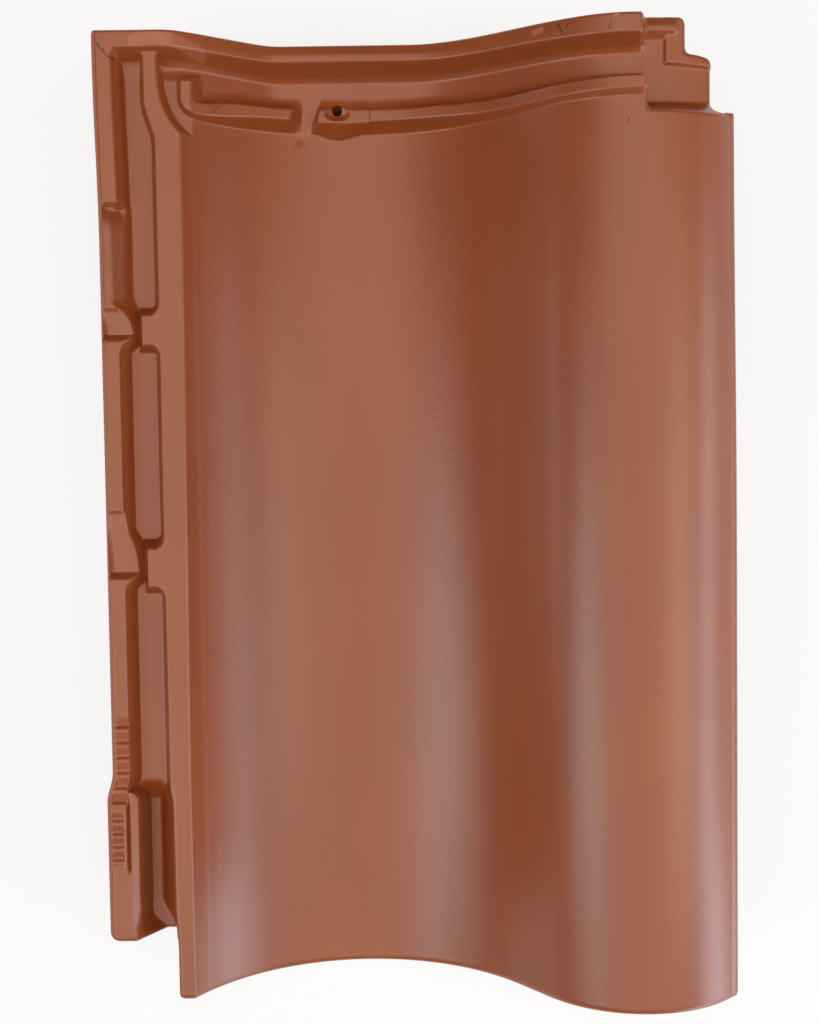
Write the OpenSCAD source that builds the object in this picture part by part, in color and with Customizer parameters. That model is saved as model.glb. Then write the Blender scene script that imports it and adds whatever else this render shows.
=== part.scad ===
// Interlocking clay pantile, pressed and fired in one piece.
// A sunken pan and a raised roll run from the nose to the head. A channelled side lock takes the
// roll of the tile on its left, and a ribbed head lock takes the nose of the tile above.
// Working axes: X across from the pan's lowest line, Y along from the nose, Z up from the pan.

/* [Tile] */
// Length from nose to head
tile_l = 420; // [400:1:440]
// Thickness of the clay, square to its surface
wall = 12; // [11:0.5:13]

/* [Wave] */
// Radius of the pan's upper surface
pan_r = 88; // [86:0.5:90]
// Slope of the flank between pan and roll, degrees
flank_slope = 50; // [48:0.5:52]
// Length of the straight flank
flank_l = 21; // [19:0.5:24]
// Radius of the roll's upper surface
roll_r = 52; // [50:0.5:54]
// Slope at the right edge of the roll, degrees
roll_end = 53; // [50:0.5:56]
// Height of the land beside the pan
land_z = 43; // [41:0.5:45]

/* [Side lock] */
// Distance of the left edge from the pan line
left_x = 109.6; // [107:0.1:112]
// How far the left edge swells out beside the outlet
swell = 2.6; // [1:0.1:4]
// Length over which the swell runs out
swell_run = 13; // [8:0.5:20]
// Thickness of the lock from the land down to its underside
lock_t = 27; // [25:0.5:29]
// Distance of the lock's lower end from the nose
lock_y = 26.3; // [22:0.1:32]
// Depth of the pockets below the land
pocket_d = 10; // [7:0.5:12]
// Right side of the pockets, from the pan line
pocket_x = 84.5; // [83:0.1:86]
// Width of the pockets
pocket_w = 13.5; // [12:0.5:15]
// Corner radius of the pockets
pocket_r = 5; // [3:0.5:6]
// Width of the groove behind the rim at its mouth
groove_w = 8; // [7:0.5:9]
// Width of the rim's flat top
rim_w = 7; // [6:0.5:8]
// Distance of the lower bridge's middle from the head
bridge_low = 229.4; // [215:0.1:240]
// Length of the lower bridge between two pockets
bridge_low_l = 16.3; // [10:0.1:22]
// Distance of the upper bridge's middle from the head
bridge_high = 126.8; // [115:0.1:140]
// Length of the upper bridge between two pockets
bridge_high_l = 11.6; // [8:0.1:18]
// Length of the gap in the rim beside the lower bridge
gap_low_l = 27.4; // [20:0.1:32]
// Length of the gap in the rim beside the upper bridge
gap_high_l = 11.5; // [8:0.1:18]
// Depth of the gaps at their upper ends
gap_d = 2; // [1:0.5:4]
// Depth of the gaps at their lower ends
gap_end_d = 7; // [5:0.5:9]
// Depth of the lower outlet below the land
outlet_d = 17; // [14:0.5:18]
// Distance of the outlet's upper end from the nose
outlet_y = 87; // [80:1:95]
// Left side of the strip that runs on to the nose, from the pan line
strip_x = 82.7; // [80:0.1:84]

/* [Head lock] */
// Length of the head lock, from the foot of its second rib to the head
head_l = 36; // [33:0.5:42]
// Depth of the head channel below the rim's top
channel_d = 11; // [9:0.5:12]
// Thickness of the head rim
rim_t = 11; // [9:0.5:13]
// Height of the rim's top over the pan
rim_pan_z = 17; // [15:0.5:19]
// Height of the rim's top at the roll
rim_roll_z = 57; // [55:0.5:59]
// Where the head floor leaves the side lock, from the pan line
fall_x = 88; // [84:0.5:92]
// Where that fall reaches the level floor, from the pan line
level_left_x = 32; // [26:0.5:38]
// Where the level floor starts to rise to the roll, from the pan line
level_right_x = 24; // [18:0.5:30]
// Where that rise ends, from the pan line
rise_x = 116; // [112:0.5:120]
// Thickness of the second rib
rib_t = 8; // [6:0.5:9]
// Height of the second rib above the pan
rib_pan_h = 8; // [6.5:0.5:10]
// Height of the second rib above the roll
rib_roll_h = 3; // [2:0.5:4]
// Where the rib's left end turns towards the head, from the pan line
hook_x = 62; // [58:0.5:66]
// Outer radius of that turn
hook_r = 15.5; // [12:0.5:17]
// Height of the rib above the pan at that turn
hook_h = 4.5; // [3:0.5:6]
// Radius of the hollow round the turn
hollow_r = 20; // [18:0.5:21]
// Depth of that hollow below the land
hollow_d = 8.5; // [6:0.5:10]
// Width of the drain gap in the second rib
drain_w = 12; // [8:0.5:16]
// Radius of the nail hole
nail_r = 2.6; // [2:0.1:3.5]
// Place of the nail hole across, from the pan line
nail_x = -8.5; // [-12:0.5:-4]
// Distance of the nail hole's middle from the rib's back
nail_set = 3; // [2:0.5:5]
// Radius of the boss around the nail hole
boss_r = 5.5; // [5:0.5:8]

/* [Corner cut] */
// Right side of the cut corner at the head, from the pan line
corner_x = 140.3; // [136:0.1:144]
// Right side of the step below it
corner_step_x = 151.5; // [148:0.1:154]
// Length of the cut corner along the tile
corner_l = 15; // [12:0.5:18]
// Height of the floor of the cut corner
corner_z = 48; // [46:0.5:50]
// Left side of that floor, where the head rim ends
corner_left_x = 121; // [119:0.5:123]
// Height of the short rib at the head of that floor
corner_rib_h = 3; // [2:0.5:5]
// Thickness of that short rib
corner_rib_t = 7; // [5:0.5:9]
// Height of the pad in front of the short rib
corner_pad_h = 2.5; // [1:0.5:4]
// Width of that pad
corner_pad_w = 7; // [5:0.5:9]
// Length of that pad
corner_pad_l = 12; // [8:0.5:16]

/* [Underside] */
// Depth of the hanging nibs below the pan
nib_d = 18; // [15:0.5:20]
// Thickness of the nibs along the tile
nib_t = 14; // [12:0.5:16]
// Distance of the nibs' bearing face from the head
nib_set = 19; // [17:0.5:24]
// Half width of the nib under the pan
nib_pan_w = 33; // [25:0.5:36]
// Width of the nib under the flank
nib_flank_w = 22; // [16:0.5:26]
// Place of the flank nib's middle, from the pan line
nib_flank_x = 70; // [66:0.5:74]
// Width of the lip under the right edge
lip_w = 10.5; // [10:0.5:12]
// Height of the lip's lower face
lip_z = 34.5; // [33:0.5:35.5]
// Width of the rib inside the roll
cover_rib_w = 6; // [5:0.5:8]
// Place of that rib's middle, from the pan line
cover_rib_x = 131; // [128:0.5:134]
// Height of that rib's lower face
cover_rib_z = 44.5; // [44:0.5:48]

/* [Hidden] */
$fn = 96;
far = 400;
// The flank laps over both arcs by this much, so that the three stretches fuse
lap = 0.02;
// How far one form reaches into another that it is fused with
sunk = 2;
// Points where the arcs and the flank meet
pan_end = [pan_r * sin(flank_slope), pan_r * (1 - cos(flank_slope))];
roll_start = pan_end + flank_l * [cos(flank_slope), sin(flank_slope)];
roll_c = roll_start + roll_r * [sin(flank_slope), -cos(flank_slope)];
pan_c = [0, pan_r];
roll_top = roll_c[1] + roll_r;
right_x = roll_c[0] + roll_r * sin(roll_end);
land_slope = acos(1 - land_z / pan_r);
land_x = -pan_r * sin(land_slope);
// Levels of the head zone
head_wall = wall - 1;
head_land_z = land_z - channel_d;
head_pan_z = rim_pan_z - channel_d;
head_roll_z = rim_roll_z - channel_d;
hollow_z = land_z - hollow_d;
// Places along the tile
lock_base = land_z - lock_t;
head_y = tile_l - head_l;
rib_y = head_y + 3;
rib_back = rib_y + rib_t;
rim_y = tile_l - rim_t;
nib_y = tile_l - nib_set;
corner_y = head_y - 3;
end_wall_t = 7;
swell_y = outlet_y + swell_run;
nail_y = rib_back - nail_set;
low_bridge_y = tile_l - bridge_low;
high_bridge_y = tile_l - bridge_high;
pockets = [
  [outlet_y, low_bridge_y - bridge_low_l / 2],
  [low_bridge_y + bridge_low_l / 2, high_bridge_y - bridge_high_l / 2],
  [high_bridge_y + bridge_high_l / 2, rim_y - 1]
];
rim_gaps = [
  [low_bridge_y - 2, low_bridge_y - 2 + gap_low_l],
  [high_bridge_y - 2, high_bridge_y - 2 + gap_high_l]
];
// The tile lies on its nose and its nibs, so its head is lifted by a small angle
nib_z = -wall - nib_d;
lay = atan(nib_d / nib_y);
low_head_z = head_pan_z - head_wall;
mid_x = (right_x - left_x - swell) / 2;
mid_y = (tile_l * cos(lay) - low_head_z * sin(lay) - roll_top * sin(lay)) / 2;
floor_z = wall * cos(lay);
// Number of straight pieces in a curve that follows a formula
curve_n = 40;

// Rises smoothly from 0 at a to 1 at b
function eased(a, b, x) =
  let (t = min(1, max(0, (x - a) / (b - a))))
  t * t * (3 - 2 * t);

// Height of the tile's upper surface, from the pan to the roll
function wave_z(x) =
  x < pan_end[0] ? pan_r - sqrt(pan_r * pan_r - x * x)
  : x < roll_start[0] ? pan_end[1] + (x - pan_end[0]) * tan(flank_slope)
  : roll_c[1] + sqrt(roll_r * roll_r - pow(x - roll_c[0], 2));

// The head floor and its rim follow a flatter wave
function head_z(x) =
  head_pan_z
  + (head_land_z - head_pan_z) * (1 - eased(-fall_x, -level_left_x, x))
  + (head_roll_z - head_pan_z) * eased(level_right_x, rise_x, x);

// The second rib is highest over the pan
function rib_h(x) =
  x < 0 ? hook_h + (rib_pan_h - hook_h) * eased(-hook_x, 0, x)
  : rib_pan_h + (rib_roll_h - rib_pan_h) * eased(0, roll_start[0], x);

// Even steps from a to b
function steps(a, b) = [for (i = [0:curve_n]) a + (b - a) * i / curve_n];

// Sweeps a section in X and Z along the tile from y0 to y1
module along(y0, y1) {
  translate([0, y1, 0])
    rotate([90, 0, 0])
      linear_extrude(y1 - y0)
        children();
}

// Wedge of directions from a0 to a1, measured from straight down
module wedge(a0, a1) {
  polygon([[0, 0], far * [sin(a0), -cos(a0)], far * [sin((a0 + a1) / 2), -cos((a0 + a1) / 2)],
    far * [sin(a1), -cos(a1)]]);
}

// Ring sector between two radii
module sector(r0, r1, a0, a1) {
  intersection() {
    difference() {
      circle(r = r1);
      circle(r = r0);
    }
    wedge(a0, a1);
  }
}

// The three stretches of the wave between two offsets from its upper surface
module pan_band(lo, hi) {
  translate(pan_c)
    sector(pan_r - hi, pan_r - lo, -land_slope, flank_slope);
}

module flank_band(lo, hi) {
  translate(pan_end)
    rotate(flank_slope)
      translate([-0.5, lo - lap])
        square([flank_l + 1, hi - lo + 2 * lap]);
}

module roll_band(lo, hi) {
  translate(roll_c)
    sector(roll_r + lo, roll_r + hi, 176 - roll_end, 180 + flank_slope);
}

module wave() {
  pan_band(-wall, 0);
  flank_band(-wall, 0);
  roll_band(-wall, 0);
}

// Side lock before its channel is pressed in; grow widens it to the left
module lock_block(grow) {
  edge_x = -left_x - grow;
  polygon([[edge_x, land_z - 2], [edge_x + 2, land_z], [land_x, land_z], [-66, lock_base],
    [edge_x + 12, lock_base], [edge_x, lock_base + 10]]);
}

// The left edge swells out beside the outlet and runs back in above it
module swelling() {
  intersection() {
    along(lock_y, swell_y)
      lock_block(swell);
    linear_extrude(far)
      polygon([[-left_x - swell, 0], [-left_x - swell, outlet_y], [-left_x, swell_y],
        [-left_x + 15, swell_y], [-left_x + 15, 0]]);
  }
}

// Lip and inner rib that close over the neighbour's side lock
module cover_lock() {
  translate([right_x - lip_w, lip_z])
    square([lip_w + 3, roll_c[1] + roll_r * cos(roll_end) - 2 - lip_z]);
  translate([cover_rib_x - cover_rib_w / 2, cover_rib_z])
    square([cover_rib_w, roll_top - wall / 2 - cover_rib_z - 4]);
}

module head_band(lo, hi) {
  xs = steps(-left_x, corner_left_x);
  polygon(concat([for (x = xs) [x, head_z(x) + lo]], [for (i = [curve_n:-1:0]) [xs[i], head_z(xs[i]) + hi]]));
}

// Second rib, from its turn at the left to the end of the head rim
module rib_band() {
  xs = steps(-hook_x, corner_left_x);
  polygon(concat([for (x = xs) [x, wave_z(x) - wall / 2]],
    [for (i = [curve_n:-1:0]) [xs[i], wave_z(xs[i]) + rib_h(xs[i])]]));
}

// Walls under the roll that close its hollow where the main field steps down to the head
module head_end_wall() {
  xs = steps(roll_start[0] - 5, corner_left_x);
  intersection() {
    translate(roll_c)
      circle(r = roll_r - wall / 2);
    polygon(concat([for (x = xs) [x, head_z(x) - head_wall]], [[corner_left_x, far], [xs[0], far]]));
  }
}

module corner_end_wall(x1) {
  intersection() {
    translate(roll_c)
      circle(r = roll_r - wall / 2);
    translate([corner_left_x - 6, corner_z - head_wall])
      square([x1 - corner_left_x + 6, far]);
  }
}

// Floor of the cut corner; its left end lies under the channel's floor
module corner_plate() {
  low_z = corner_z - head_wall;
  polygon([[corner_left_x - 6, low_z], [corner_step_x, low_z], [corner_step_x, corner_z],
    [corner_left_x, corner_z], [corner_left_x, head_roll_z - 1], [corner_left_x - 6, head_roll_z - 1]]);
}

// Nibs that hang over the roof batten, tapered towards their lower ends
module nibs() {
  polygon([[-nib_pan_w, nib_z], [nib_pan_w, nib_z], [nib_pan_w + 4, head_pan_z - 4],
    [-nib_pan_w - 4, head_pan_z - 4]]);
  polygon([[nib_flank_x - nib_flank_w / 2, nib_z], [nib_flank_x + nib_flank_w / 2, nib_z],
    [nib_flank_x + nib_flank_w / 2 + 4, head_pan_z + 22],
    [nib_flank_x - nib_flank_w / 2 - 4, head_pan_z + 10]]);
}

module rounded_slot(x0, x1, y0, y1, r) {
  translate([x0 + r, y0])
    square([x1 - x0 - 2 * r, y1 - y0]);
  translate([x0, y0 + r])
    square([x1 - x0, y1 - y0 - 2 * r]);
  for (x = [x0 + r, x1 - r], y = [y0 + r, y1 - r])
    translate([x, y])
      circle(r = r);
}

module solid_form() {
  along(0, rib_back)
    wave();
  along(lock_y, tile_l)
    lock_block(0);
  swelling();
  along(0, lock_y + 1)
    intersection() {
      lock_block(0);
      translate([-strip_x, 0])
        square([far, far]);
    }
  along(0, head_y)
    cover_lock();
  // Head zone
  along(rib_back - 1, tile_l)
    head_band(-head_wall, 0);
  along(rim_y, tile_l)
    head_band(-head_wall, channel_d);
  along(rib_y, rib_back)
    rib_band();
  along(rib_back - end_wall_t, rib_back)
    head_end_wall();
  along(corner_y - end_wall_t, corner_y)
    corner_end_wall(corner_step_x);
  along(corner_y - end_wall_t, rib_back)
    corner_end_wall(corner_left_x);
  along(corner_y - end_wall_t, tile_l)
    corner_plate();
  translate([nail_x, nail_y, head_pan_z - head_wall / 2])
    cylinder(r = boss_r, h = head_wall / 2 + 3.5);
  along(nib_y, nib_y + nib_t)
    nibs();
}

module pressed_away() {
  // Right edge, trimmed square
  translate([right_x, -1, -far / 2])
    cube([far, far + tile_l, far]);
  // Notch at the nose, below the side lock
  translate([-far - strip_x, -1, -far / 2])
    cube([far, lock_y + 1, far]);
  // Groove behind the rim, and the pockets beside it
  along(outlet_y - 1, rim_y)
    polygon([[rim_w - left_x, land_z + 1], [rim_w + 4 - left_x, land_z - pocket_d - 1],
      [rim_w + groove_w - 1 - left_x, land_z - pocket_d - 1], [rim_w + groove_w - left_x, land_z + 1]]);
  for (p = pockets)
    translate([0, 0, land_z - pocket_d])
      linear_extrude(far)
        rounded_slot(-pocket_x - pocket_w, -pocket_x, p[0], p[1], pocket_r);
  // Gaps in the rim, which deepen towards the nose
  for (g = rim_gaps)
    translate([-left_x - 1, 0, 0])
      rotate([90, 0, 90])
        linear_extrude(rim_w + groove_w / 2 + 1)
          polygon([[g[0], land_z - gap_end_d], [g[1], land_z - gap_d], [g[1], far], [g[0], far]]);
  // Outlet at the lower end
  along(lock_y - 1, outlet_y)
    polygon([[8 - left_x, land_z + 1], [14 - left_x, land_z - outlet_d + 4],
      [18 - left_x, land_z - outlet_d], [-pocket_x, land_z - outlet_d], [-pocket_x, land_z + 1]]);
  // Hollow round the turn of the second rib
  translate([-hook_x, rib_y + hook_r, hollow_z])
    linear_extrude(far)
      intersection() {
        circle(r = hollow_r);
        translate([-far, -far])
          square([2 * far, far + rim_y - rib_y - hook_r]);
      }
  // Drain gap and nail hole
  translate([nail_x - boss_r - drain_w - 3.5, rib_y - 1, head_pan_z])
    cube([drain_w, rib_t + 2, far]);
  translate([nail_x, nail_y, -far / 2])
    cylinder(r = nail_r, h = far);
  // Cut corner
  translate([corner_left_x, corner_y, corner_z])
    cube(far);
  translate([corner_step_x, corner_y, -far / 2])
    cube(far);
  translate([corner_x, tile_l - corner_l, -far / 2])
    cube(far);
}

// Quarter turn at the left end of the second rib
module hook() {
  intersection() {
    along(rib_y - 1, rib_y + hook_r)
      pan_band(-wall / 2, hook_h);
    translate([-hook_x, rib_y + hook_r, 0])
      linear_extrude(hollow_z + hook_h)
        intersection() {
          difference() {
            circle(r = hook_r);
            circle(r = hook_r - rib_t);
          }
          translate([-far, -far])
            square([far + 1, far]);
        }
  }
}

// Short rib and pad on the floor of the cut corner
module corner_relief() {
  translate([corner_left_x, tile_l - corner_rib_t, corner_z - sunk])
    cube([corner_x - corner_left_x, corner_rib_t, sunk + corner_rib_h]);
  translate([corner_x - 2 - corner_pad_w, tile_l - corner_rib_t - corner_pad_l, corner_z - sunk])
    cube([corner_pad_w, corner_pad_l + 1, sunk + corner_pad_h]);
}

module roof_tile() {
  color([0.6, 0.36, 0.28])
    translate([-mid_x, -mid_y, floor_z])
      rotate([lay, 0, 0]) {
        difference() {
          solid_form();
          pressed_away();
        }
        hook();
        corner_relief();
      }
}

roof_tile();
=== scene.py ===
import math

import bpy
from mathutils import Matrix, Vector


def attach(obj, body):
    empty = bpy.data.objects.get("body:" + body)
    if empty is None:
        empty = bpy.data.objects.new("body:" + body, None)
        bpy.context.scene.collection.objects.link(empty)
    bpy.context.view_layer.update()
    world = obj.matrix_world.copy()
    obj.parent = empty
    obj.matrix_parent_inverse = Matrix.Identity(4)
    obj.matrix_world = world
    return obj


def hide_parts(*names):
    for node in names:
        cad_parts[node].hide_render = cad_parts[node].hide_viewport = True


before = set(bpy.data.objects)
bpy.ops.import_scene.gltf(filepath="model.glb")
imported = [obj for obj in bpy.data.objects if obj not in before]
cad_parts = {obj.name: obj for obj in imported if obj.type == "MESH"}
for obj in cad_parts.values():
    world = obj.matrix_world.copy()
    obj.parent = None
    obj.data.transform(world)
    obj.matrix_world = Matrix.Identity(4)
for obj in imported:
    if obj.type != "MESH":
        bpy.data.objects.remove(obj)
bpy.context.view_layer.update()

# Roof tile
# One interlocking pantile of red clay, pressed between two halves of a mould and fired in one piece.
# It lies on its nose and on the nibs under its head. A satin red-brown engobe covers all of it.
tile_sizes = {
    "Length": 420.0,
    "Clay thickness": 12.0,
    "Pan radius": 88.0,
    "Flank slope": math.radians(50),
    "Flank length": 21.0,
    "Roll radius": 52.0,
    "Right edge": 162.27,
    "Left edge": -110.5,
    "Land height": 43.0,
    "Pocket depth": 10.0,
    "Outlet depth": 17.0,
    "Head rim height": 11.0,
    "Head floor in the pan": 6.0,
    "Head floor at the roll": 47.7,
    "Corner floor": 48.2,
    "Nib depth": 30.0,
    "Lay angle": math.radians(2.570155),
}
# From the tile's own axes to the frame's, in metres
millimetre = 0.001
tile_shift = (-0.0250369, -0.2084189, 0.0119879)

pressing = bpy.data.node_groups.new("pressed_tile", "GeometryNodeTree")
pressing.is_modifier = True
size_sockets = {}
for size_name in tile_sizes:
    socket = pressing.interface.new_socket(name=size_name, in_out="INPUT", socket_type="NodeSocketFloat")
    size_sockets[size_name] = socket.identifier
clay_socket = pressing.interface.new_socket(name="Finish", in_out="INPUT", socket_type="NodeSocketMaterial")
pressing.interface.new_socket(name="Tile", in_out="OUTPUT", socket_type="NodeSocketGeometry")
size_inputs = pressing.nodes.new("NodeGroupInput")


class Measure:
    """A length in millimetres that the tree works out at each point of the tile."""

    def __init__(self, socket):
        self.socket = socket

    def __add__(self, other):
        return worked("ADD", self, other)

    def __radd__(self, other):
        return worked("ADD", other, self)

    def __sub__(self, other):
        return worked("SUBTRACT", self, other)

    def __rsub__(self, other):
        return worked("SUBTRACT", other, self)

    def __mul__(self, other):
        return worked("MULTIPLY", self, other)

    def __rmul__(self, other):
        return worked("MULTIPLY", other, self)

    def __truediv__(self, other):
        return worked("DIVIDE", self, other)

    def __rtruediv__(self, other):
        return worked("DIVIDE", other, self)

    def __neg__(self):
        return worked("MULTIPLY", self, -1.0)


def feed(value, entry):
    if isinstance(value, Measure):
        pressing.links.new(value.socket, entry)
    else:
        entry.default_value = value


def worked(operation, *terms):
    node = pressing.nodes.new("ShaderNodeMath")
    node.operation = operation
    for entry, term in zip(node.inputs, terms):
        feed(term, entry)
    return Measure(node.outputs[0])


def higher(first, *others):
    for other in others:
        first = worked("MAXIMUM", first, other)
    return first


def lower(first, *others):
    for other in others:
        first = worked("MINIMUM", first, other)
    return first


def soft_lower(first, second, radius):
    return worked("SMOOTH_MIN", first, second, radius)


def soft_higher(first, second, radius):
    return worked("SMOOTH_MAX", first, second, radius)


def eased(start, end, value, way="SMOOTHSTEP"):
    """0 before start, 1 after end."""
    node = pressing.nodes.new("ShaderNodeMapRange")
    node.interpolation_type = way
    feed(value, node.inputs["Value"])
    feed(start, node.inputs["From Min"])
    feed(end, node.inputs["From Max"])
    return Measure(node.outputs["Result"])


def sloped(start, end, value, corner=0.12):
    """A straight slope from 0 to 1 whose two edges are a little rounded."""
    share = (value - start) / (end - start)
    return soft_lower(soft_higher(share, 0.0, corner), 1.0, corner)


def blended(first, second, share):
    return first + (second - first) * share


def reach(across, along):
    return worked("SQRT", across * across + along * along)


def size(name):
    return Measure(size_inputs.outputs[name])


def point_parts():
    place = pressing.nodes.new("GeometryNodeInputPosition")
    parts = pressing.nodes.new("ShaderNodeSeparateXYZ")
    pressing.links.new(place.outputs[0], parts.inputs[0])
    return [Measure(part) for part in parts.outputs]


def moved(mesh, parts):
    """Puts each point of a mesh at the place that the three measures give."""
    joined = pressing.nodes.new("ShaderNodeCombineXYZ")
    for part, entry in zip(parts, joined.inputs):
        feed(part, entry)
    node = pressing.nodes.new("GeometryNodeSetPosition")
    pressing.links.new(mesh, node.inputs["Geometry"])
    pressing.links.new(joined.outputs[0], node.inputs["Position"])
    return node.outputs["Geometry"]


def graded(count, stops):
    """Turns a line's number into its place; each stop is a place and the spaces up to the next stop."""
    place, pace_before, passed = stops[0][0], 0.0, 0
    for (start, spaces), (end, _) in zip(stops, stops[1:]):
        pace = (end - start) / spaces
        place = place + higher(count - float(passed), 0.0) * (pace - pace_before)
        pace_before = pace
        passed += spaces
    return place


def flat_sheet(x_stops, y_stops, level):
    """A sheet of squares whose lines stand closer where the relief is fine."""
    across = sum(spaces for _, spaces in x_stops)
    along = sum(spaces for _, spaces in y_stops)
    grid = pressing.nodes.new("GeometryNodeMeshGrid")
    grid.inputs["Size X"].default_value = across
    grid.inputs["Size Y"].default_value = along
    grid.inputs["Vertices X"].default_value = across + 1
    grid.inputs["Vertices Y"].default_value = along + 1
    gx, gy, _ = point_parts()
    places = [graded(gx + across / 2, x_stops), graded(gy + along / 2, y_stops), level]
    return moved(grid.outputs["Mesh"], places)


def joined_meshes(*meshes):
    node = pressing.nodes.new("GeometryNodeJoinGeometry")
    for mesh in reversed(meshes):
        pressing.links.new(mesh, node.inputs[0])
    return node.outputs[0]


# The plan: a flat sheet for each zone, with its lines on the edges of the outline. X runs from the pan's
# lowest line, Y from the nose and Z from the pan's upper surface, all in millimetres.
left_edge = size("Left edge")
right_edge = size("Right edge")
length = size("Length")
strip_x = -82.7
lock_y = 26.3
head_y = 372.0
step_x, step_y = 151.5, 380.0
cut_x, cut_y = 140.3, 405.0
nail_x, nail_y, nail_half = -8.5, 393.2, 2.1
nail_left, nail_right = nail_x - nail_half, nail_x + nail_half
nail_low, nail_high = nail_y - nail_half, nail_y + nail_half
lock_keel_x = -98.5
top_level, low_level = 0.0, -1.0
weld_gap = 0.01
lock_sheet = flat_sheet(
    [(left_edge, 60), (strip_x, 0)],
    [(lock_y, 32), (58.0, 100), (126.0, 14), (178.0, 55), (222.0, 15), (282.0, 33), (308.0, 8), (340.0, 12),
     (352.0, 5), (head_y, 0)], top_level)
wave_lines = [(strip_x, 24), (-66.0, 10), (-38.0, 6), (-32.0, 10), (nail_left, 4), (nail_right, 14),
              (32.0, 6), (38.0, 6), (54.0, 6), (60.0, 8), (80.0, 6), (86.0, 20), (126.5, 4), (129.0, 3),
              (133.0, 4), (135.5, 3), (cut_x, 6), (step_x, 2), (153.0, 3), (157.0, 10), (right_edge, 0)]
field_sheet = flat_sheet(wave_lines, [(0.0, 12), (5.0, 5), (lock_y, 84), (head_y, 0)], top_level)
head_sheet = flat_sheet(
    [(left_edge, 60), (strip_x, 36), (-62.0, 14), (-40.0, 10), (-32.0, 36), (nail_left, 8), (nail_right, 22),
     (8.0, 12), (32.0, 6), (38.0, 10), (54.0, 6), (60.0, 12), (80.0, 6), (86.0, 18), (116.0, 38), (cut_x, 18),
     (step_x, 4), (153.0, 6), (157.0, 10), (right_edge, 0)],
    [(head_y, 14), (step_y, 20), (nail_low, 8), (nail_high, 17), (cut_y, 28), (length, 0)], top_level)
under_sheet = flat_sheet(
    [(left_edge, 6), (lock_keel_x, 4)] + wave_lines,
    [(0.0, 4), (3.0, 4), (lock_y, 40), (370.0, 6), (step_y, 4), (386.0, 5), (nail_low, 4), (nail_high, 4),
     (400.0, 4), (402.5, 3), (cut_y, 5), (413.5, 5), (416.5, 5), (length, 0)], low_level)


def seamed(mesh, chosen, neighbour):
    """Moves the chosen points of a finer mesh on to its neighbour's nearest points, to close the seam."""
    nearest = pressing.nodes.new("GeometryNodeProximity")
    nearest.target_element = "POINTS"
    pressing.links.new(neighbour, nearest.inputs[0])
    node = pressing.nodes.new("GeometryNodeSetPosition")
    pressing.links.new(mesh, node.inputs["Geometry"])
    pressing.links.new(chosen.socket, node.inputs["Selection"])
    pressing.links.new(nearest.outputs["Position"], node.inputs["Position"])
    return node.outputs["Geometry"]


sheet_x, sheet_y, _ = point_parts()
lock_sheet = seamed(lock_sheet, worked("GREATER_THAN", sheet_x, strip_x - weld_gap), field_sheet)
below_head = joined_meshes(lock_sheet, field_sheet)
head_sheet = seamed(head_sheet, worked("LESS_THAN", sheet_y, head_y + weld_gap), below_head)


def gap_to(corner_x, corner_y, x_side, y_side, x, y):
    """Distance to a cut-out that runs from its corner outwards to the given sides."""
    return reach(higher((corner_x - x) * x_side, 0.0), higher((corner_y - y) * y_side, 0.0))


def outline_gaps(x, y):
    return {
        "nose": y,
        "notch": gap_to(strip_x, lock_y, -1.0, -1.0, x, y),
        "right": right_edge - x,
        "head": length - y,
        "left": x - left_edge,
        "step": gap_to(step_x, step_y, 1.0, 1.0, x, y),
        "cut": gap_to(cut_x, cut_y, 1.0, 1.0, x, y),
        "nail": higher(worked("ABSOLUTE", x - nail_x), worked("ABSOLUTE", y - nail_y)) - nail_half,
    }


def trimmed(mesh):
    """Takes away the squares of the cut corner at the head, the notch at the nose and the nail hole."""
    x, y, _ = point_parts()
    outside = higher(lower(x - step_x, y - step_y), lower(x - cut_x, y - cut_y),
                     lower(strip_x - x, lock_y - y), -outline_gaps(x, y)["nail"])
    node = pressing.nodes.new("GeometryNodeDeleteGeometry")
    node.domain = "FACE"
    pressing.links.new(mesh, node.inputs["Geometry"])
    pressing.links.new(worked("GREATER_THAN", outside, 0.0).socket, node.inputs["Selection"])
    return node.outputs[0]


upper = trimmed(joined_meshes(lock_sheet, field_sheet, head_sheet))
weld_upper = pressing.nodes.new("GeometryNodeMergeByDistance")
weld_upper.inputs["Distance"].default_value = weld_gap
pressing.links.new(upper, weld_upper.inputs["Geometry"])

# Side walls, drawn down from the outline's edges
plan_x, plan_y, _ = point_parts()
edge_faces = pressing.nodes.new("GeometryNodeInputMeshEdgeNeighbors")
open_edge = worked("COMPARE", Measure(edge_faces.outputs[0]), 1.0, 0.1)
on_outline = worked("LESS_THAN", lower(*outline_gaps(plan_x, plan_y).values()), 2 * weld_gap)
walls = pressing.nodes.new("GeometryNodeExtrudeMesh")
walls.mode = "EDGES"
walls.inputs["Offset Scale"].default_value = 1.0
pressing.links.new(weld_upper.outputs[0], walls.inputs["Mesh"])
pressing.links.new((open_edge * on_outline).socket, walls.inputs["Selection"])
downwards = pressing.nodes.new("ShaderNodeCombineXYZ")
downwards.inputs["Z"].default_value = low_level - top_level
pressing.links.new(downwards.outputs[0], walls.inputs["Offset"])
under_sheet = trimmed(under_sheet)
underside = pressing.nodes.new("GeometryNodeFlipFaces")
pressing.links.new(under_sheet, underside.inputs[0])
_, _, wall_z = point_parts()
half_down = (top_level + low_level) / 2
walls_down = seamed(walls.outputs["Mesh"], worked("LESS_THAN", wall_z, half_down), under_sheet)
weld_all = pressing.nodes.new("GeometryNodeMergeByDistance")
weld_all.inputs["Distance"].default_value = weld_gap
pressing.links.new(joined_meshes(walls_down, underside.outputs[0]), weld_all.inputs["Geometry"])

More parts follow.
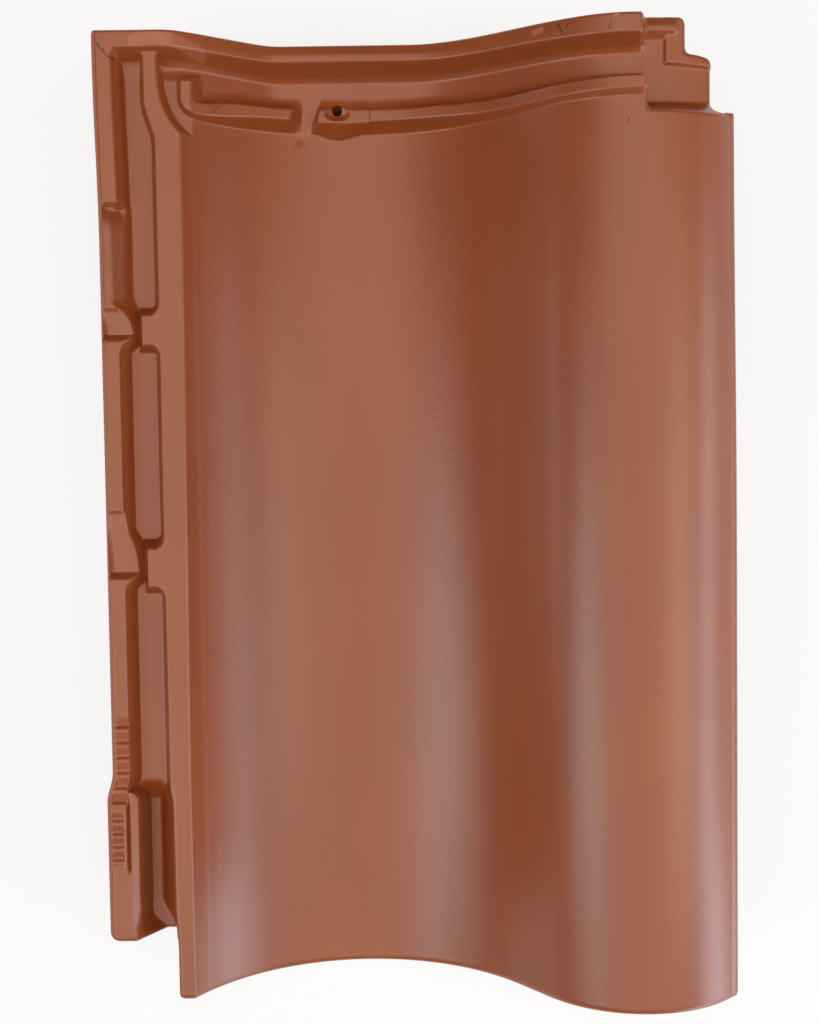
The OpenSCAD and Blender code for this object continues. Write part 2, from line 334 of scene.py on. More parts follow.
# The outline as it was pressed: a fuller left edge beside the outlet, rounded corners, a curved shoulder
plan_x, plan_y, plan_z = point_parts()
gaps = outline_gaps(plan_x, plan_y)
lock_edge_x, head_flare, outlet_flare = -109.6, 1.3, 2.6
edge_x = (lock_edge_x - head_flare * eased(330.0, 410.0, plan_y)
          - outlet_flare * (1.0 - eased(88.0, 101.0, plan_y)))
pull = lower(plan_x - strip_x, 0.0) / (left_edge - strip_x)
taper_x, taper_y = 156.0, 200.0
taper = eased(taper_x, right_edge, plan_x) * eased(taper_y, step_y, plan_y)
x = plan_x + pull * (edge_x - left_edge) - taper
shoulder_x, shoulder_bend = 141.0, 0.02
past_shoulder = higher(lower(plan_x, step_x) - shoulder_x, 0.0)
y = plan_y - shoulder_bend * past_shoulder * past_shoulder * eased(385.0, cut_y, plan_y)
rounded_corners = [
    (strip_x, 0.0, 1, 1, 3.0), (right_edge, 0.0, -1, 1, 3.0), (right_edge, step_y, -1, -1, 1.2),
    (step_x, step_y, 1, 1, 3.0), (step_x, cut_y, -1, -1, 2.0), (cut_x, cut_y, 1, 1, 2.5),
    (cut_x, length, -1, -1, 3.0), (left_edge, length, 1, -1, 1.5), (left_edge, lock_y, 1, 1, 4.0),
    (strip_x, lock_y, -1, -1, 2.0)]
corner_pull, corner_power = 0.293, 1.5
for corner_x, corner_y, x_way, y_way, radius in rounded_corners:
    near = higher(1.0 - reach(plan_x - corner_x, plan_y - corner_y) / radius, 0.0)
    pulled = worked("POWER", near, corner_power) * (corner_pull * radius)
    x = x + pulled * x_way
    y = y + pulled * y_way

# The square nail hole drawn round, its lower mouth a little nearer the nose
nail_r, nail_shift, nail_zone = 2.4, 2.6, 5.5
nail_side = gaps["nail"] + nail_half
beside_nail = 1.0 - eased(nail_half, nail_zone, nail_side)
from_nail = higher(reach(plan_x - nail_x, plan_y - nail_y), 0.1)
nail_round = beside_nail * (nail_side * (nail_r / nail_half) / from_nail - 1.0)
x = x + (plan_x - nail_x) * nail_round
y = y + (plan_y - nail_y) * nail_round
y = y - nail_shift * beside_nail * worked("LESS_THAN", plan_z, half_down)

# The wave: pan, straight flank and roll
pan_r, roll_r, land = size("Pan radius"), size("Roll radius"), size("Land height")
clay = size("Clay thickness")
slope = size("Flank slope")
slope_sin, slope_cos = worked("SINE", slope), worked("COSINE", slope)
pan_end = pan_r * slope_sin
flank_low = pan_r - pan_r * slope_cos
roll_start = pan_end + size("Flank length") * slope_cos
roll_x = roll_start + roll_r * slope_sin
roll_z = flank_low + size("Flank length") * slope_sin - roll_r * slope_cos


def wave(offset):
    pan = pan_r - worked("SQRT", higher((pan_r - offset) * (pan_r - offset) - x * x, 1.0))
    flank = flank_low + offset / slope_cos + (x - pan_end) * (slope_sin / slope_cos)
    from_roll = x - roll_x
    roll = roll_z + worked("SQRT", higher((roll_r + offset) * (roll_r + offset) - from_roll * from_roll, 1.0))
    past_pan = worked("GREATER_THAN", x, (pan_r - offset) * slope_sin)
    past_flank = worked("GREATER_THAN", x, roll_start - offset * slope_sin)
    return pan, blended(blended(pan, flank, past_pan), roll, past_flank)


pan_top, wave_top = wave(0.0)

# Land beside the pan, which falls a little towards the head, and the hollow in its upper end
in_x = x - edge_x
land_rise, land_fall, land_edge_r = 0.9, 0.0088, 1.0
strip_z = blended(land, land + land_rise - land_fall * y, eased(10.0, 14.0, in_x))
hollow_x, hollow_y, hollow_floor = -60.0, 403.0, 34.3
hollow_rx, hollow_ry, hollow_wall, hollow_start = 22.8, 30.5, 78.0, 0.965
hollow = reach(lower(x - hollow_x, 0.0) / hollow_rx, lower(y - hollow_y, 0.0) / hollow_ry)
hollow_z = hollow_floor + hollow_wall * higher(hollow - hollow_start, 0.0)
left_field = soft_lower(soft_lower(pan_top, strip_z, land_edge_r), hollow_z, land_edge_r)
field_z = blended(left_field, wave_top, worked("GREATER_THAN", x, 0.0))

# Head lock: a flatter floor, the rim at the edge with a foot before it, and the second rib with its hook
pocket_d = size("Pocket depth")
pocket_floor = land - pocket_d
floor_pan = size("Head floor in the pan")
floor_left_x, floor_pan_x, floor_flank_x, floor_roll_x = -77.0, -38.0, 24.0, 116.0
head_floor = (floor_pan + (pocket_floor - floor_pan) * (1.0 - sloped(floor_left_x, floor_pan_x, x, 0.22))
              + (size("Head floor at the roll") - floor_pan) * eased(floor_flank_x, floor_roll_x, x))
at_land = 1.0 - eased(-75.0, -35.0, x)
rim_bow, rim_end_fall, rim_roll_fall = 0.9, 1.5, 1.2
rim_y = y - rim_bow * at_land
foot_y, foot_slope = 405.4, 0.85
face_y, face_z, face_slope = 407.7, 2.0, 1.95
rim_slope = soft_higher(foot_slope * (rim_y - foot_y), face_z + face_slope * (rim_y - face_y), 0.5)
rim_fall = rim_end_fall * eased(414.5, 420.5, y) * (1.0 - at_land) * (1.0 - eased(50.0, 105.0, x))
rim_top = size("Head rim height") - at_land - rim_roll_fall * eased(60.0, 110.0, x) - rim_fall
rim_z = head_floor + soft_lower(rim_slope, rim_top, 0.5)
bend_x, bend_y = -66.5, 393.0
rib_along = (bend_y + higher(y - bend_y, 0.0) * eased(bend_x - 0.5, bend_x + 0.5, x)
             - reach(lower(x - bend_x, 0.0), lower(y - bend_y, 0.0)))
to_roll = eased(20.0, 95.0, x)
in_hook = 1.0 - eased(-68.0, -62.0, x)
boss_half = 11.5
boss_side = (x - nail_x) / boss_half
boss = higher(1.0 - boss_side * boss_side, 0.0)
boss_top = eased(-17.4, -16.2, x) * (1.0 - eased(5.8, 6.8, x))
rib_base_y, boss_bulge = 383.9, 2.6
rib_base = rib_base_y - boss_bulge * boss * boss
rib_front_y, front_at_roll, front_at_land, front_at_boss = 388.1, 2.1, 2.6, 0.9
rib_front = rib_front_y - front_at_roll * to_roll - front_at_land * at_land - front_at_boss * boss_top
rib_back_y, back_at_roll, back_at_land = 393.0, 2.2, 2.7
rib_back = rib_back_y - back_at_roll * to_roll - back_at_land * (1.0 - eased(-70.0, -50.0, x))
rib_pan_h, rise_at_boss, fall_at_roll, fall_at_land = 8.0, 0.9, 5.0, 3.5
rib_height = (rib_pan_h + rise_at_boss * boss_top - fall_at_roll * eased(30.0, 80.0, x)
              - fall_at_land * (1.0 - eased(-70.0, -40.0, x)))
drain_mid_x, drain_mid_y, drain_lean = -21.3, 390.0, 0.33
drain_x = x - drain_mid_x - drain_lean * (y - drain_mid_y)
drain = eased(1.5, 4.4, drain_x) + eased(1.6, 8.2, -drain_x)
hook_low_y, hook_high_y = 399.4, 401.0
hook_end = 1.0 - eased(hook_low_y, hook_high_y, y) * in_hook
rib = rib_height * sloped(rib_base, rib_front, rib_along) * drain * hook_end
tail_d, tail_shift = 0.6, 0.4
tail_side = worked("ABSOLUTE", drain_x + tail_shift)
drain_tail = (tail_d * (1.0 - eased(0.8, 3.4, tail_side)) * eased(376.0, 383.0, y)
              * (1.0 - eased(384.0, 389.0, y)))
back_w, back_hollow = 7.0, 2.7
behind = 1.0 - eased(rib_back, rib_back + back_w, rib_along, "LINEAR")
fall = blended(eased(380.0, 398.0, y), 1.0 - worked("POWER", behind, back_hollow), drain)
fall = higher(fall, eased(400.0, 405.0, y) * eased(-83.8, -82.4, x))
upper_z = soft_higher(blended(field_z + rib - drain_tail, head_floor, fall), rim_z, 0.6)
dish_x, dish_y, dish_d = -8.3, 391.4, 3.0
dish_rx, dish_ry = 5.8, 3.1
from_dish = reach((x - dish_x) / dish_rx, (y - dish_y) / dish_ry)
upper_z = upper_z - dish_d * higher(1.0 - from_dish * from_dish, 0.0)

# Cut corner: a lower floor with a raised plate and a short rib
rim_end_x, corner_bend = 122.0, 0.0035
from_rim = higher(x - rim_end_x, 0.0)
plate_h, plate_bend, plate_shift = 1.6, 0.002, 0.3
plate_y = y + plate_bend * from_rim * from_rim - plate_shift
plate = eased(131.0, 131.9, x) * eased(399.8, 401.0, plate_y)
corner_rib_h, corner_rib_fall = 3.0, 1.6
corner_rib = (corner_rib_h * sloped(410.6, 414.0, y) * (1.0 - eased(135.6, 138.0, x))
              - corner_rib_fall * eased(415.5, 420.0, y))
corner_z = size("Corner floor") - corner_bend * from_rim * from_rim + higher(plate_h * plate, corner_rib)
upper_z = blended(upper_z, corner_z, sloped(120.6, 123.2, x, 0.25) * sloped(377.8, 384.2, y, 0.2))

# Side lock: a rim with two gaps and a wider upper end, and three pockets between bridges
pockets = [(60.0, 182.5), (198.8, 287.4), (299.0, 440.0)]
rim_gaps = [(188.6, 216.0, pockets[1][0]), (291.4, 302.9, pockets[2][0])]
slim_rim_y, wide_rim_y = 301.0, 346.0
slimmer = eased(slim_rim_y, slim_rim_y + 5.0, y)
wider = eased(wide_rim_y - 1.5, wide_rim_y + 1.5, y)
crest_w, crest_slimming, crest_widening = 7.5, 2.4, 3.1
rim_top_w = crest_w - crest_slimming * slimmer + crest_widening * wider
base_w, base_widening, base_slimming = 11.3, 1.5, 0.6
rim_base_w = base_w + base_widening * slimmer - base_slimming * wider
tongue_crest_w, tongue_base_w = 3.0, 5.5
for gap_start, gap_end, bridge_y in rim_gaps:
    tongue_end = eased(gap_start - 8.0, gap_start - 1.5, y)
    crest_run = 1.0 - eased(gap_start + 5.0, gap_end, y, "LINEAR")
    base_run = 1.0 - eased(bridge_y - 1.0, bridge_y + 9.0, y)
    rim_top_w = rim_top_w + tongue_crest_w * tongue_end * crest_run
    rim_base_w = rim_base_w + tongue_base_w * tongue_end * base_run
rim_face = land - pocket_d * (in_x - rim_top_w) / (rim_base_w - rim_top_w)
draft = 3.2
pocket_edge_x, pocket_flare, groove_w = -84.2, 4.4, 18.0
pocket_right = x - pocket_edge_x + pocket_flare * eased(head_y, 392.0, y)
pocket_r, nose_end_slope = 5.0, 0.8
pocket_ends = lower(*[higher((start - y) * nose_end_slope, y - end) for start, end in pockets])
pocket_gap = (reach(higher(pocket_right + pocket_r, 0.0), higher(pocket_ends + pocket_r, 0.0)) - pocket_r
              + lower(higher(pocket_right, pocket_ends) + pocket_r, 0.0))
cut_depth = lower(pocket_gap, in_x - groove_w)
channel = soft_higher(pocket_floor + draft * higher(cut_depth + pocket_d / draft, 0.0), rim_face, 0.8)
channel = soft_higher(channel, rim_z, 7.0)
lock_z = soft_lower(upper_z, channel, 0.8)
gap_d, gap_fall, gap_w, gap_wall = 1.0, 3.2, 14.5, 4.0
for gap_start, gap_end, _ in rim_gaps:
    deepening = gap_d + gap_fall * (gap_end - y) / (gap_end - gap_start)
    gap_side = higher(0.45 * (gap_start - y), 0.2 * (y - gap_end + 1.5), 1.5 * (1.5 - in_x),
                      in_x - gap_w, 0.0)
    lock_z = soft_lower(lock_z, land - deepening + gap_wall * gap_side, 0.6)
on_rim = eased(1.8, 2.6, in_x)
rim_notch_d = 3.0
rim_notch = (rim_notch_d * eased(wide_rim_y - 8.0, wide_rim_y - 0.6, y)
             * (1.0 - eased(wide_rim_y + 0.2, wide_rim_y + 1.4, y)))
lock_z = lock_z - rim_notch * on_rim * (1.0 - eased(8.0, 11.0, in_x))

# Outlet at the lower end of the side lock, with a pad beside the toothed rim
outlet_end_x, outlet_narrowing, outlet_top_x = -86.4, 5.5, -82.0
outlet_foot_x = outlet_end_x - outlet_narrowing * eased(28.0, 42.0, y)
outlet = land - size("Outlet depth") * (1.0 - eased(outlet_foot_x, outlet_top_x, x))
outlet_z = soft_lower(upper_z, soft_higher(outlet, rim_face, 0.8), 0.8)
lock_z = blended(outlet_z, lock_z, eased(85.0, 97.0, y))
pad_y, pad_corner = 88.0, 5.5
pad_round = higher(y - pad_y, 0.0) / pad_corner
at_end = 1.0 - eased(27.0, 42.0, y)
pad_top_w, pad_corner_w, pad_end_taper = 7.8, 6.2, 2.5
pad_w = (pad_top_w + pad_corner_w * worked("SQRT", higher(1.0 - pad_round * pad_round, 0.0))
         - pad_end_taper * at_end)
pad_wall, pad_end_ease, pad_head_wall, pad_head_run = 9.0, 7.4, 8.0, 4.5
pad_z = (land - (pad_wall - pad_end_ease * at_end) * (in_x - pad_w)
         - pad_head_wall * higher(y - pad_y - pad_head_run, 0.0))
lock_z = soft_lower(upper_z, soft_higher(lock_z, pad_z, 0.6), 0.8)
pad_groove_d = 1.8
pad_groove = (eased(8.4, 9.1, in_x) * (1.0 - eased(9.6, 10.3, in_x)) * eased(57.0, 58.5, y)
              * (1.0 - eased(86.0, 90.0, y)))
lock_z = lock_z - pad_groove_d * pad_groove


def teeth(first, pitch, start, end):
    """Grooves across the rim at one pitch: a long run down towards the nose and a steep end."""
    steep_share, steep_run, deepest, crest = 0.25, 1.2, 0.5, 0.6
    along = (worked("FRACT", (y - first) / pitch + steep_share) - steep_share) * pitch - deepest
    long_run = (1.0 - steep_share) * pitch - crest
    cut = higher(1.0 - higher(along / long_run, along * (-1.0 / steep_run)), 0.0)
    return cut * worked("GREATER_THAN", y, start) * worked("LESS_THAN", y, end)


row_border_y = 84.8
wide_teeth = teeth(first=121.4, pitch=6.66, start=row_border_y, end=126.5)
short_teeth = teeth(first=80.3, pitch=5.77, start=60.0, end=row_border_y)
wide_tooth_d, short_tooth_d = 1.3, 1.2
rim_teeth = (wide_tooth_d * wide_teeth * (1.0 - eased(8.6, 10.4, in_x))
             + short_tooth_d * short_teeth * (1.0 - eased(6.6, 7.6, in_x))) * on_rim
beside_strip = worked("LESS_THAN", x, -70.0)
upper_z = blended(upper_z, lock_z - rim_teeth, beside_strip)

# Narrow ledge along the right edge
ledge_x, ledge_fall = 158.9, 0.45
ledge_top = worked("SQRT", roll_r * roll_r - (ledge_x - roll_x) * (ledge_x - roll_x))
ledge_z = roll_z + ledge_top - ledge_fall * (x - ledge_x)
upper_z = blended(upper_z, soft_higher(upper_z, ledge_z, 0.4), worked("GREATER_THAN", x, 156.5))


def rounded_drop(gap, radius):
    inside = higher(radius - gap, 0.0)
    return radius - worked("SQRT", higher(radius * radius - inside * inside, 0.0))


edge_radii = {"nose": 3.0, "notch": 2.0, "right": 3.0, "head": 1.3, "step": 1.6, "cut": 1.6}
left_bevel = 2.0
edge_drops = [rounded_drop(gaps[edge], radius) for edge, radius in edge_radii.items()]
upper_z = upper_z - higher(left_bevel - gaps["left"], 0.0, *edge_drops)

# Underside: the wave at the clay's thickness, lip and inner rib under the roll, and the two nibs
pan_low, wave_low = wave(-clay)
lock_keel_z, keel_slope = 16.0, 10.0 / 12.0
lock_low = lock_keel_z + higher(lock_keel_x - x, 0.0) * keel_slope
lip_x, lip_z, lip_end_y = 152.4, 34.5, 383.0
inner_rib_x, inner_rib_z, inner_rib_half = 131.0, 44.5, 3.0
lip_wall = 6.0
lip = lip_z + lip_wall * higher(lip_x - x, y - lip_end_y, 0.0)
from_inner_rib = worked("ABSOLUTE", x - inner_rib_x) - inner_rib_half
inner_rib = inner_rib_z + lip_wall * higher(from_inner_rib, y - lip_end_y, 0.0)
roll_low = lower(higher(wave_low, lip_z), lip, inner_rib)
under_z = blended(lower(pan_low, lock_low), wave_low, worked("GREATER_THAN", x, 0.0))
under_z = blended(under_z, roll_low, worked("GREATER_THAN", x, 100.0))
head_clay, corner_clay = 11.0, 11.6
lock_end_x, lock_end_wall = -66.0, 4.0
head_low = lower(head_floor - head_clay, lock_low + lock_end_wall * higher(x - lock_end_x, 0.0))
head_low = blended(head_low, size("Corner floor") - corner_clay, eased(110.0, 116.0, x))
pan_head_y, head_shift, head_run = 396.5, 12.0, 3.5
head_start = pan_head_y - head_shift * eased(8.0, 40.0, x) - head_shift * eased(110.0, 117.0, x)
under_z = blended(under_z, head_low, eased(head_start, head_start + head_run, y))
nib_low_y, nib_high_y = 401.0, 415.0
nib_side_wall, nib_end_wall = 5.0, 12.0
pan_nib, flank_nib = (0.0, 33.0), (70.0, 11.0)
for nib_x, nib_half in [pan_nib, flank_nib]:
    nib_side = higher(worked("ABSOLUTE", x - nib_x) - nib_half, 0.0) * nib_side_wall
    nib_end = higher(nib_low_y - y, y - nib_high_y, 0.0) * nib_end_wall
    under_z = lower(under_z, nib_side + nib_end - size("Nib depth"))

on_top = worked("GREATER_THAN", plan_z, half_down)
shaped = moved(weld_all.outputs[0], [x, y, blended(under_z, upper_z, on_top)])
lay_down = pressing.nodes.new("GeometryNodeTransform")
lay_down.inputs["Translation"].default_value = tile_shift
lay_down.inputs["Scale"].default_value = (millimetre, millimetre, millimetre)
turn = pressing.nodes.new("ShaderNodeCombineXYZ")
pressing.links.new(size("Lay angle").socket, turn.inputs["X"])
pressing.links.new(turn.outputs[0], lay_down.inputs["Rotation"])
pressing.links.new(shaped, lay_down.inputs["Geometry"])
smooth_faces = pressing.nodes.new("GeometryNodeSetShadeSmooth")
pressing.links.new(lay_down.outputs[0], smooth_faces.inputs["Geometry"])
edge_angle = pressing.nodes.new("GeometryNodeInputMeshEdgeAngle")
sharp_edges = pressing.nodes.new("GeometryNodeSetShadeSmooth")
sharp_edges.domain = "EDGE"
sharp_edges.inputs["Shade Smooth"].default_value = False
pressing.links.new(smooth_faces.outputs[0], sharp_edges.inputs["Geometry"])
sharp_angle = math.radians(62)
is_sharp = worked("GREATER_THAN", Measure(edge_angle.outputs[0]), sharp_angle)
pressing.links.new(is_sharp.socket, sharp_edges.inputs["Selection"])
real_tile = pressing.nodes.new("GeometryNodeRealizeInstances")
pressing.links.new(sharp_edges.outputs[0], real_tile.inputs["Geometry"])
glaze = pressing.nodes.new("GeometryNodeSetMaterial")
pressing.links.new(real_tile.outputs[0], glaze.inputs["Geometry"])
pressing.links.new(size_inputs.outputs["Finish"], glaze.inputs["Material"])
tile_out = pressing.nodes.new("NodeGroupOutput")
pressing.links.new(glaze.outputs[0], tile_out.inputs[0])

# Satin engobe: even red-brown, with a fine orange-peel skin
engobe = bpy.data.materials.new("engobed_clay")
engobe.use_nodes = True
coat_nodes, coat_links = engobe.node_tree.nodes, engobe.node_tree.links
coat = coat_nodes["Principled BSDF"]
coat.inputs["Roughness"].default_value = 0.36
coat.inputs["Specular IOR Level"].default_value = 0.75
coords = coat_nodes.new("ShaderNodeTexCoord")
cloud = coat_nodes.new("ShaderNodeTexNoise")
cloud.inputs["Scale"].default_value = 14.0
cloud.inputs["Detail"].default_value = 4.0
tone = coat_nodes.new("ShaderNodeValToRGB")
tone.color_ramp.elements[0].position = 0.35
tone.color_ramp.elements[0].color = (0.272, 0.0625, 0.0148, 1.0)
tone.color_ramp.elements[1].position = 0.65
tone.color_ramp.elements[1].color = (0.297, 0.0695, 0.0163, 1.0)
peel = coat_nodes.new("ShaderNodeTexNoise")
peel.inputs["Scale"].default_value = 420.0
peel.inputs["Detail"].default_value = 3.0
relief = coat_nodes.new("ShaderNodeBump")
relief.inputs["Strength"].default_value = 0.24
relief.inputs["Distance"].default_value = 0.0003
for start, end in [(coords.outputs["Object"], cloud.inputs["Vector"]),
                   (coords.outputs["Object"], peel.inputs["Vector"]),
                   (cloud.outputs["Fac"], tone.inputs["Fac"]),
                   (peel.outputs["Fac"], relief.inputs["Height"]),
                   (relief.outputs["Normal"], coat.inputs["Normal"])]:
    coat_links.new(start, end)

# Firing cracks, pits, chips and one flaked patch, as lines on the plan of the tile with ragged edges.
# The chips and the flake show the lighter clay; the near-black cracks and pits are painted shade.
rag = coat_nodes.new("ShaderNodeTexNoise")
rag.inputs["Scale"].default_value = 700.0
rag.inputs["Detail"].default_value = 2.0
ragged = coat_nodes.new("ShaderNodeVectorMath")
ragged.operation = "MULTIPLY_ADD"
rag_w = 0.0014
ragged.inputs[1].default_value = (rag_w, rag_w, 0.0)
flat = coat_nodes.new("ShaderNodeVectorMath")
flat.operation = "MULTIPLY"
flat.inputs[1].default_value = (1.0, 1.0, 0.0)
for start, end in [(coords.outputs["Object"], rag.inputs["Vector"]), (rag.outputs["Color"], ragged.inputs[0]),
                   (coords.outputs["Object"], ragged.inputs[2]), (ragged.outputs[0], flat.inputs[0])]:
    coat_links.new(start, end)
flake, chip = (0.38, 0.115, 0.05), (0.5, 0.19, 0.1)
# Painted shade: these near-black colours stand in for the shade inside the cracks and pits.
crack_painted_shade, open_crack_painted_shade, pit_painted_shade = (0.05, 0.014, 0.006), (0.035, 0.01, 0.004), (0.04, 0.011, 0.005)
colour = tone.outputs["Color"]
for mark_points, half_width, soft, mark_colour, amount in [
        ([(-0.0910, 0.2016), (-0.1011, 0.2049), (-0.1104, 0.2059), (-0.1176, 0.2049)], 0.0021, 0.0012,
         flake, 0.75),
        ([(0.0524, 0.2053), (0.0547, 0.2059)], 0.0011, 0.0006, chip, 0.5),
        ([(0.0842, 0.2073), (0.0855, 0.2075)], 0.0005, 0.0005, chip, 0.5),
        ([(-0.1329, 0.2031), (-0.1302, 0.1997), (-0.1286, 0.1980), (-0.1267, 0.1973)], 0.0002,
         0.0003, open_crack_painted_shade, 0.95),
        ([(-0.0862, 0.1776), (-0.0851, 0.1790), (-0.0836, 0.1810)], 0.0001, 0.0003, crack_painted_shade, 0.8),
        ([(0.0617, 0.2068), (0.0627, 0.2050), (0.0638, 0.2026)], 0.0001, 0.0004, crack_painted_shade, 0.9),
        ([(0.0650, 0.2040), (0.0659, 0.2063), (0.0684, 0.2066)], 0.0001, 0.0003, crack_painted_shade, 0.7),
        ([(0.0821, 0.2019), (0.0829, 0.2051)], 0.0001, 0.0004, crack_painted_shade, 0.9),
        ([(0.0885, 0.1628), (0.0882, 0.1613)], 0.0002, 0.0003, pit_painted_shade, 0.9),
        ([(0.1212, -0.1633), (0.1212, -0.1638)], 0.0001, 0.0003, pit_painted_shade, 0.8),
        ([(0.1157, -0.1939), (0.1157, -0.1943)], 0.0001, 0.0003, pit_painted_shade, 0.8)]:
    nearest = None
    for begin, finish in zip(mark_points, mark_points[1:]):
        step = Vector((finish[0] - begin[0], finish[1] - begin[1], 0.0))
        from_begin = coat_nodes.new("ShaderNodeVectorMath")
        from_begin.operation = "SUBTRACT"
        from_begin.inputs[1].default_value = (begin[0] + rag_w / 2, begin[1] + rag_w / 2, 0.0)
        along = coat_nodes.new("ShaderNodeVectorMath")
        along.operation = "DOT_PRODUCT"
        along.inputs[1].default_value = step / step.length_squared
        held = coat_nodes.new("ShaderNodeClamp")
        foot = coat_nodes.new("ShaderNodeVectorMath")
        foot.operation = "SCALE"
        foot.inputs[0].default_value = step
        off = coat_nodes.new("ShaderNodeVectorMath")
        off.operation = "DISTANCE"
        for start, end in [(flat.outputs[0], from_begin.inputs[0]), (from_begin.outputs[0], along.inputs[0]),
                           (along.outputs["Value"], held.inputs["Value"]),
                           (held.outputs[0], foot.inputs["Scale"]),
                           (from_begin.outputs[0], off.inputs[0]), (foot.outputs[0], off.inputs[1])]:
            coat_links.new(start, end)
        if nearest is None:
            nearest = off.outputs["Value"]
        else:
            both = coat_nodes.new("ShaderNodeMath")
            both.operation = "MINIMUM"
            coat_links.new(nearest, both.inputs[0])
            coat_links.new(off.outputs["Value"], both.inputs[1])
            nearest = both.outputs[0]
    shown = coat_nodes.new("ShaderNodeMapRange")
    shown.inputs["From Min"].default_value = half_width + soft
    shown.inputs["From Max"].default_value = half_width
    shown.inputs["To Max"].default_value = amount
    laid = coat_nodes.new("ShaderNodeMix")
    laid.data_type = "RGBA"
    laid.inputs[7].default_value = (*mark_colour, 1.0)
    for start, end in [(nearest, shown.inputs["Value"]), (shown.outputs["Result"], laid.inputs[0]),
                       (colour, laid.inputs[6])]:
        coat_links.new(start, end)
    colour = laid.outputs[2]
coat_links.new(colour, coat.inputs["Base Color"])

blank = bpy.data.objects.new("tile_blank", bpy.data.meshes.new("tile_blank"))
bpy.context.scene.collection.objects.link(blank)
press = blank.modifiers.new("press", "NODES")
press.node_group = pressing
for size_name, size_value in tile_sizes.items():
    press[size_sockets[size_name]] = size_value
press[clay_socket.identifier] = engobe
pressed = blank.evaluated_get(bpy.context.evaluated_depsgraph_get())
tile_mesh = bpy.data.meshes.new_from_object(pressed)
blank.modifiers.remove(press)
bpy.data.objects.remove(blank)
tile_mesh.name = "pressed_roof_tile"
tile = bpy.data.objects.new("pressed_roof_tile", tile_mesh)
bpy.context.scene.collection.objects.link(tile)
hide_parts("roof_tile")
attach(tile, "root")

# Floor
# A plain white table top, wide enough to fill the view from every side. Its white is only seen, by the
# camera and in reflections from farther off than the nail hole is deep, so that the hole stays dark.
bpy.ops.mesh.primitive_plane_add(size=60.0, location=(0.0, 0.0, 0.0))
floor = bpy.context.object
floor.name = "table_top"
table = bpy.data.materials.new("white_table")
table.use_nodes = True
table_nodes = table.node_tree.nodes
table_coat = table_nodes["Principled BSDF"]
table_coat.inputs["Base Color"].default_value = (0.86, 0.86, 0.86, 1.0)
table_coat.inputs["Roughness"].default_value = 0.8
white = table_nodes.new("ShaderNodeEmission")
white.inputs["Strength"].default_value = 1.0
rays = table_nodes.new("ShaderNodeLightPath")
seen = table_nodes.new("ShaderNodeMath")
seen.operation = "MAXIMUM"
away = table_nodes.new("ShaderNodeMath")
away.operation = "GREATER_THAN"
nail_hole_reach = 0.05
away.inputs[1].default_value = nail_hole_reach
mirrored = table_nodes.new("ShaderNodeMath")
mirrored.operation = "MULTIPLY"
share = table_nodes.new("ShaderNodeMath")
share.operation = "MULTIPLY"
share.inputs[1].default_value = 0.8
plain = table_nodes.new("ShaderNodeMixShader")
clear = table_nodes.new("ShaderNodeMath")
clear.operation = "MAXIMUM"
for start, end in [(rays.outputs["Is Camera Ray"], seen.inputs[0]),
                   (rays.outputs["Ray Length"], away.inputs[0]),
                   (rays.outputs["Is Glossy Ray"], mirrored.inputs[0]), (away.outputs[0], mirrored.inputs[1]),
                   (mirrored.outputs[0], seen.inputs[1]), (seen.outputs[0], clear.inputs[0]),
                   (rays.outputs["Is Transmission Ray"], clear.inputs[1]),
                   (clear.outputs[0], share.inputs[0]), (share.outputs[0], plain.inputs["Fac"]),
                   (table_coat.outputs[0], plain.inputs[1]), (white.outputs[0], plain.inputs[2]),
                   (plain.outputs[0], table_nodes["Material Output"].inputs["Surface"])]:
    table.node_tree.links.new(start, end)
floor.data.materials.append(table)

# Studio light
# A room whose ceiling is bright overhead and dim towards the walls, with windows at the left and the right
# and a low strip beside the tile. Each is a panel, given by its distance, its place in the sky and its light.
room = bpy.data.worlds.new("pale_ceiling")
bpy.context.scene.world = room
room.use_nodes = True
room_nodes = room.node_tree.nodes
sky = room_nodes.new("ShaderNodeTexCoord")
towards = room_nodes.new("ShaderNodeVectorMath")
towards.operation = "DOT_PRODUCT"
towards.inputs[1].default_value = Vector((0.0, -0.14, 0.99)).normalized()
ceiling = room_nodes.new("ShaderNodeValToRGB")
ceiling.color_ramp.elements[0].position = 0.74
ceiling.color_ramp.elements[0].color = (0.05, 0.048, 0.045, 1.0)
ceiling.color_ramp.elements[1].position = 0.86
ceiling.color_ramp.elements[1].color = (1.9, 1.6, 1.35, 1.0)
overhead = ceiling.color_ramp.elements.new(0.975)
overhead.color = (1.8, 1.55, 1.3, 1.0)
overhead = ceiling.color_ramp.elements.new(0.995)
overhead.color = (1.3, 1.0, 0.75, 1.0)
pale = room_nodes.new("ShaderNodeMix")
pale.data_type = "RGBA"
pale.inputs[7].default_value = (0.86, 0.86, 0.86, 1.0)
sight = room_nodes.new("ShaderNodeLightPath")
for start, end in [(sky.outputs["Generated"], towards.inputs[0]),
                   (towards.outputs["Value"], ceiling.inputs["Fac"]),
                   (sight.outputs["Is Camera Ray"], pale.inputs[0]),
                   (ceiling.outputs["Color"], pale.inputs[6]),
                   (pale.outputs[2], room_nodes["Background"].inputs["Color"])]:
    room.node_tree.links.new(start, end)
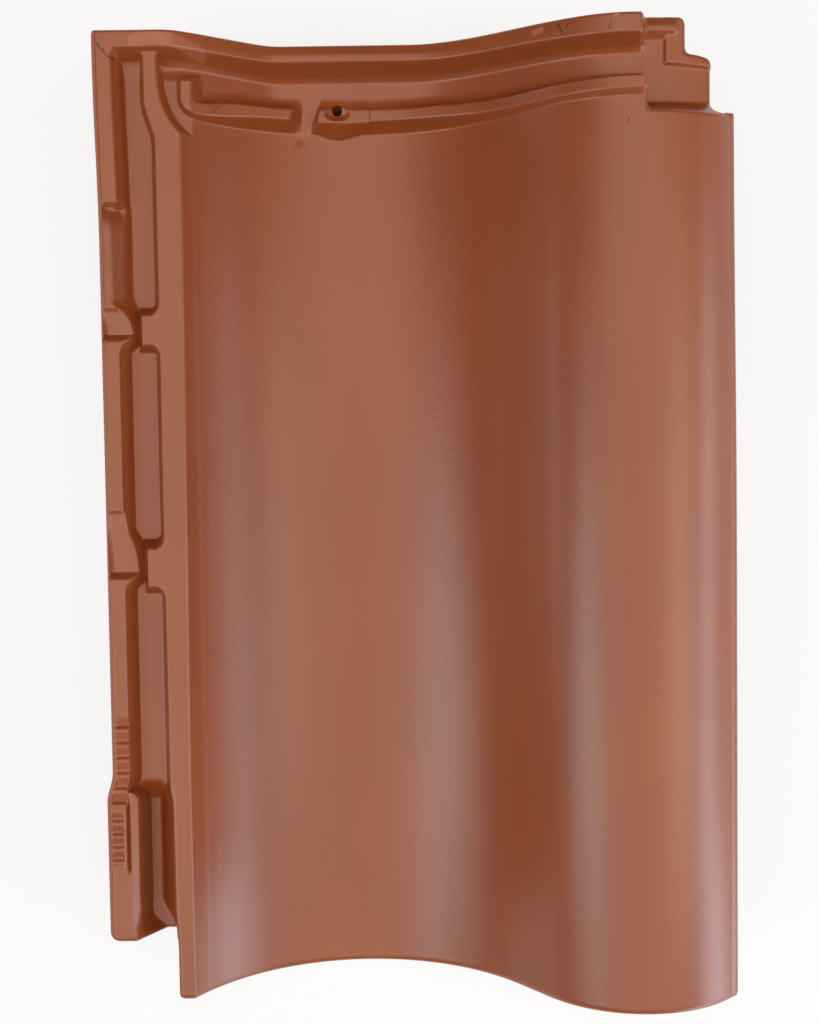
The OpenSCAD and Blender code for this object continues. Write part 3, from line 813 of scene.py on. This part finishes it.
for panel_name, panel_distance, azimuth, spread, low, high, light in [
        ("window_left", 2.0, 200.0, 20.0, 24.0, 38.0, (2.7, 3.4, 3.8)),
        ("window_left_top", 2.0, 204.0, 48.0, 38.0, 52.0, (2.8, 3.6, 4.0)),
        ("window_left_low", 2.0, 180.0, 20.0, 2.0, 12.0, (2.8, 2.6, 2.7)),
        ("window_right", 2.0, 350.0, 40.0, 12.0, 24.0, (4.7, 5.4, 5.8)),
        ("strip_right_low", 0.75, 316.0, 40.0, 3.0, 12.0, (4.2, 5.2, 6.6)),
        ("window_right_middle", 2.0, 340.0, 20.0, 24.0, 38.0, (0.6, 1.4, 2.2)),
        ("window_right_top", 2.0, 348.0, 48.0, 38.0, 55.0, (3.3, 2.9, 2.2))]:
    panel = bpy.data.lights.new(panel_name, "AREA")
    panel.shape = "RECTANGLE"
    middle = math.radians((low + high) / 2)
    panel.size = 2 * panel_distance * math.tan(math.radians(spread / 2)) * math.cos(middle)
    panel.size_y = 2 * panel_distance * math.tan(math.radians((high - low) / 2))
    strongest = max(light)
    panel.color = [part / strongest for part in light]
    panel.energy = strongest * math.pi * panel.size * panel.size_y
    panel_object = bpy.data.objects.new(panel_name, panel)
    turn_z = math.radians(azimuth)
    level = math.cos(middle)
    direction = Vector((level * math.cos(turn_z), level * math.sin(turn_z), math.sin(middle)))
    panel_object.location = direction * panel_distance
    panel_object.rotation_euler = (-direction).to_track_quat("-Z", "Y").to_euler()
    panel_object.visible_camera = False
    bpy.context.scene.collection.objects.link(panel_object)

# Camera
# It looks almost straight down on the tile, from about 0.65 m.
lens = bpy.data.cameras.new("overhead_camera")
lens.sensor_fit = "VERTICAL"
sensor_mm, focal_pixels, picture_pixels = 36.0, 1350.0, 1024.0
lens.sensor_height = sensor_mm
lens.lens = focal_pixels / picture_pixels * sensor_mm
camera = bpy.data.objects.new("overhead_camera", lens)
camera.location = (-0.00298, 0.00587, 0.64629)
camera.rotation_euler = [math.radians(angle) for angle in (-0.2938, 0.0367, -0.8186)]
bpy.context.scene.collection.objects.link(camera)
bpy.context.scene.camera = camera
bpy.context.scene.view_settings.view_transform = "Standard"
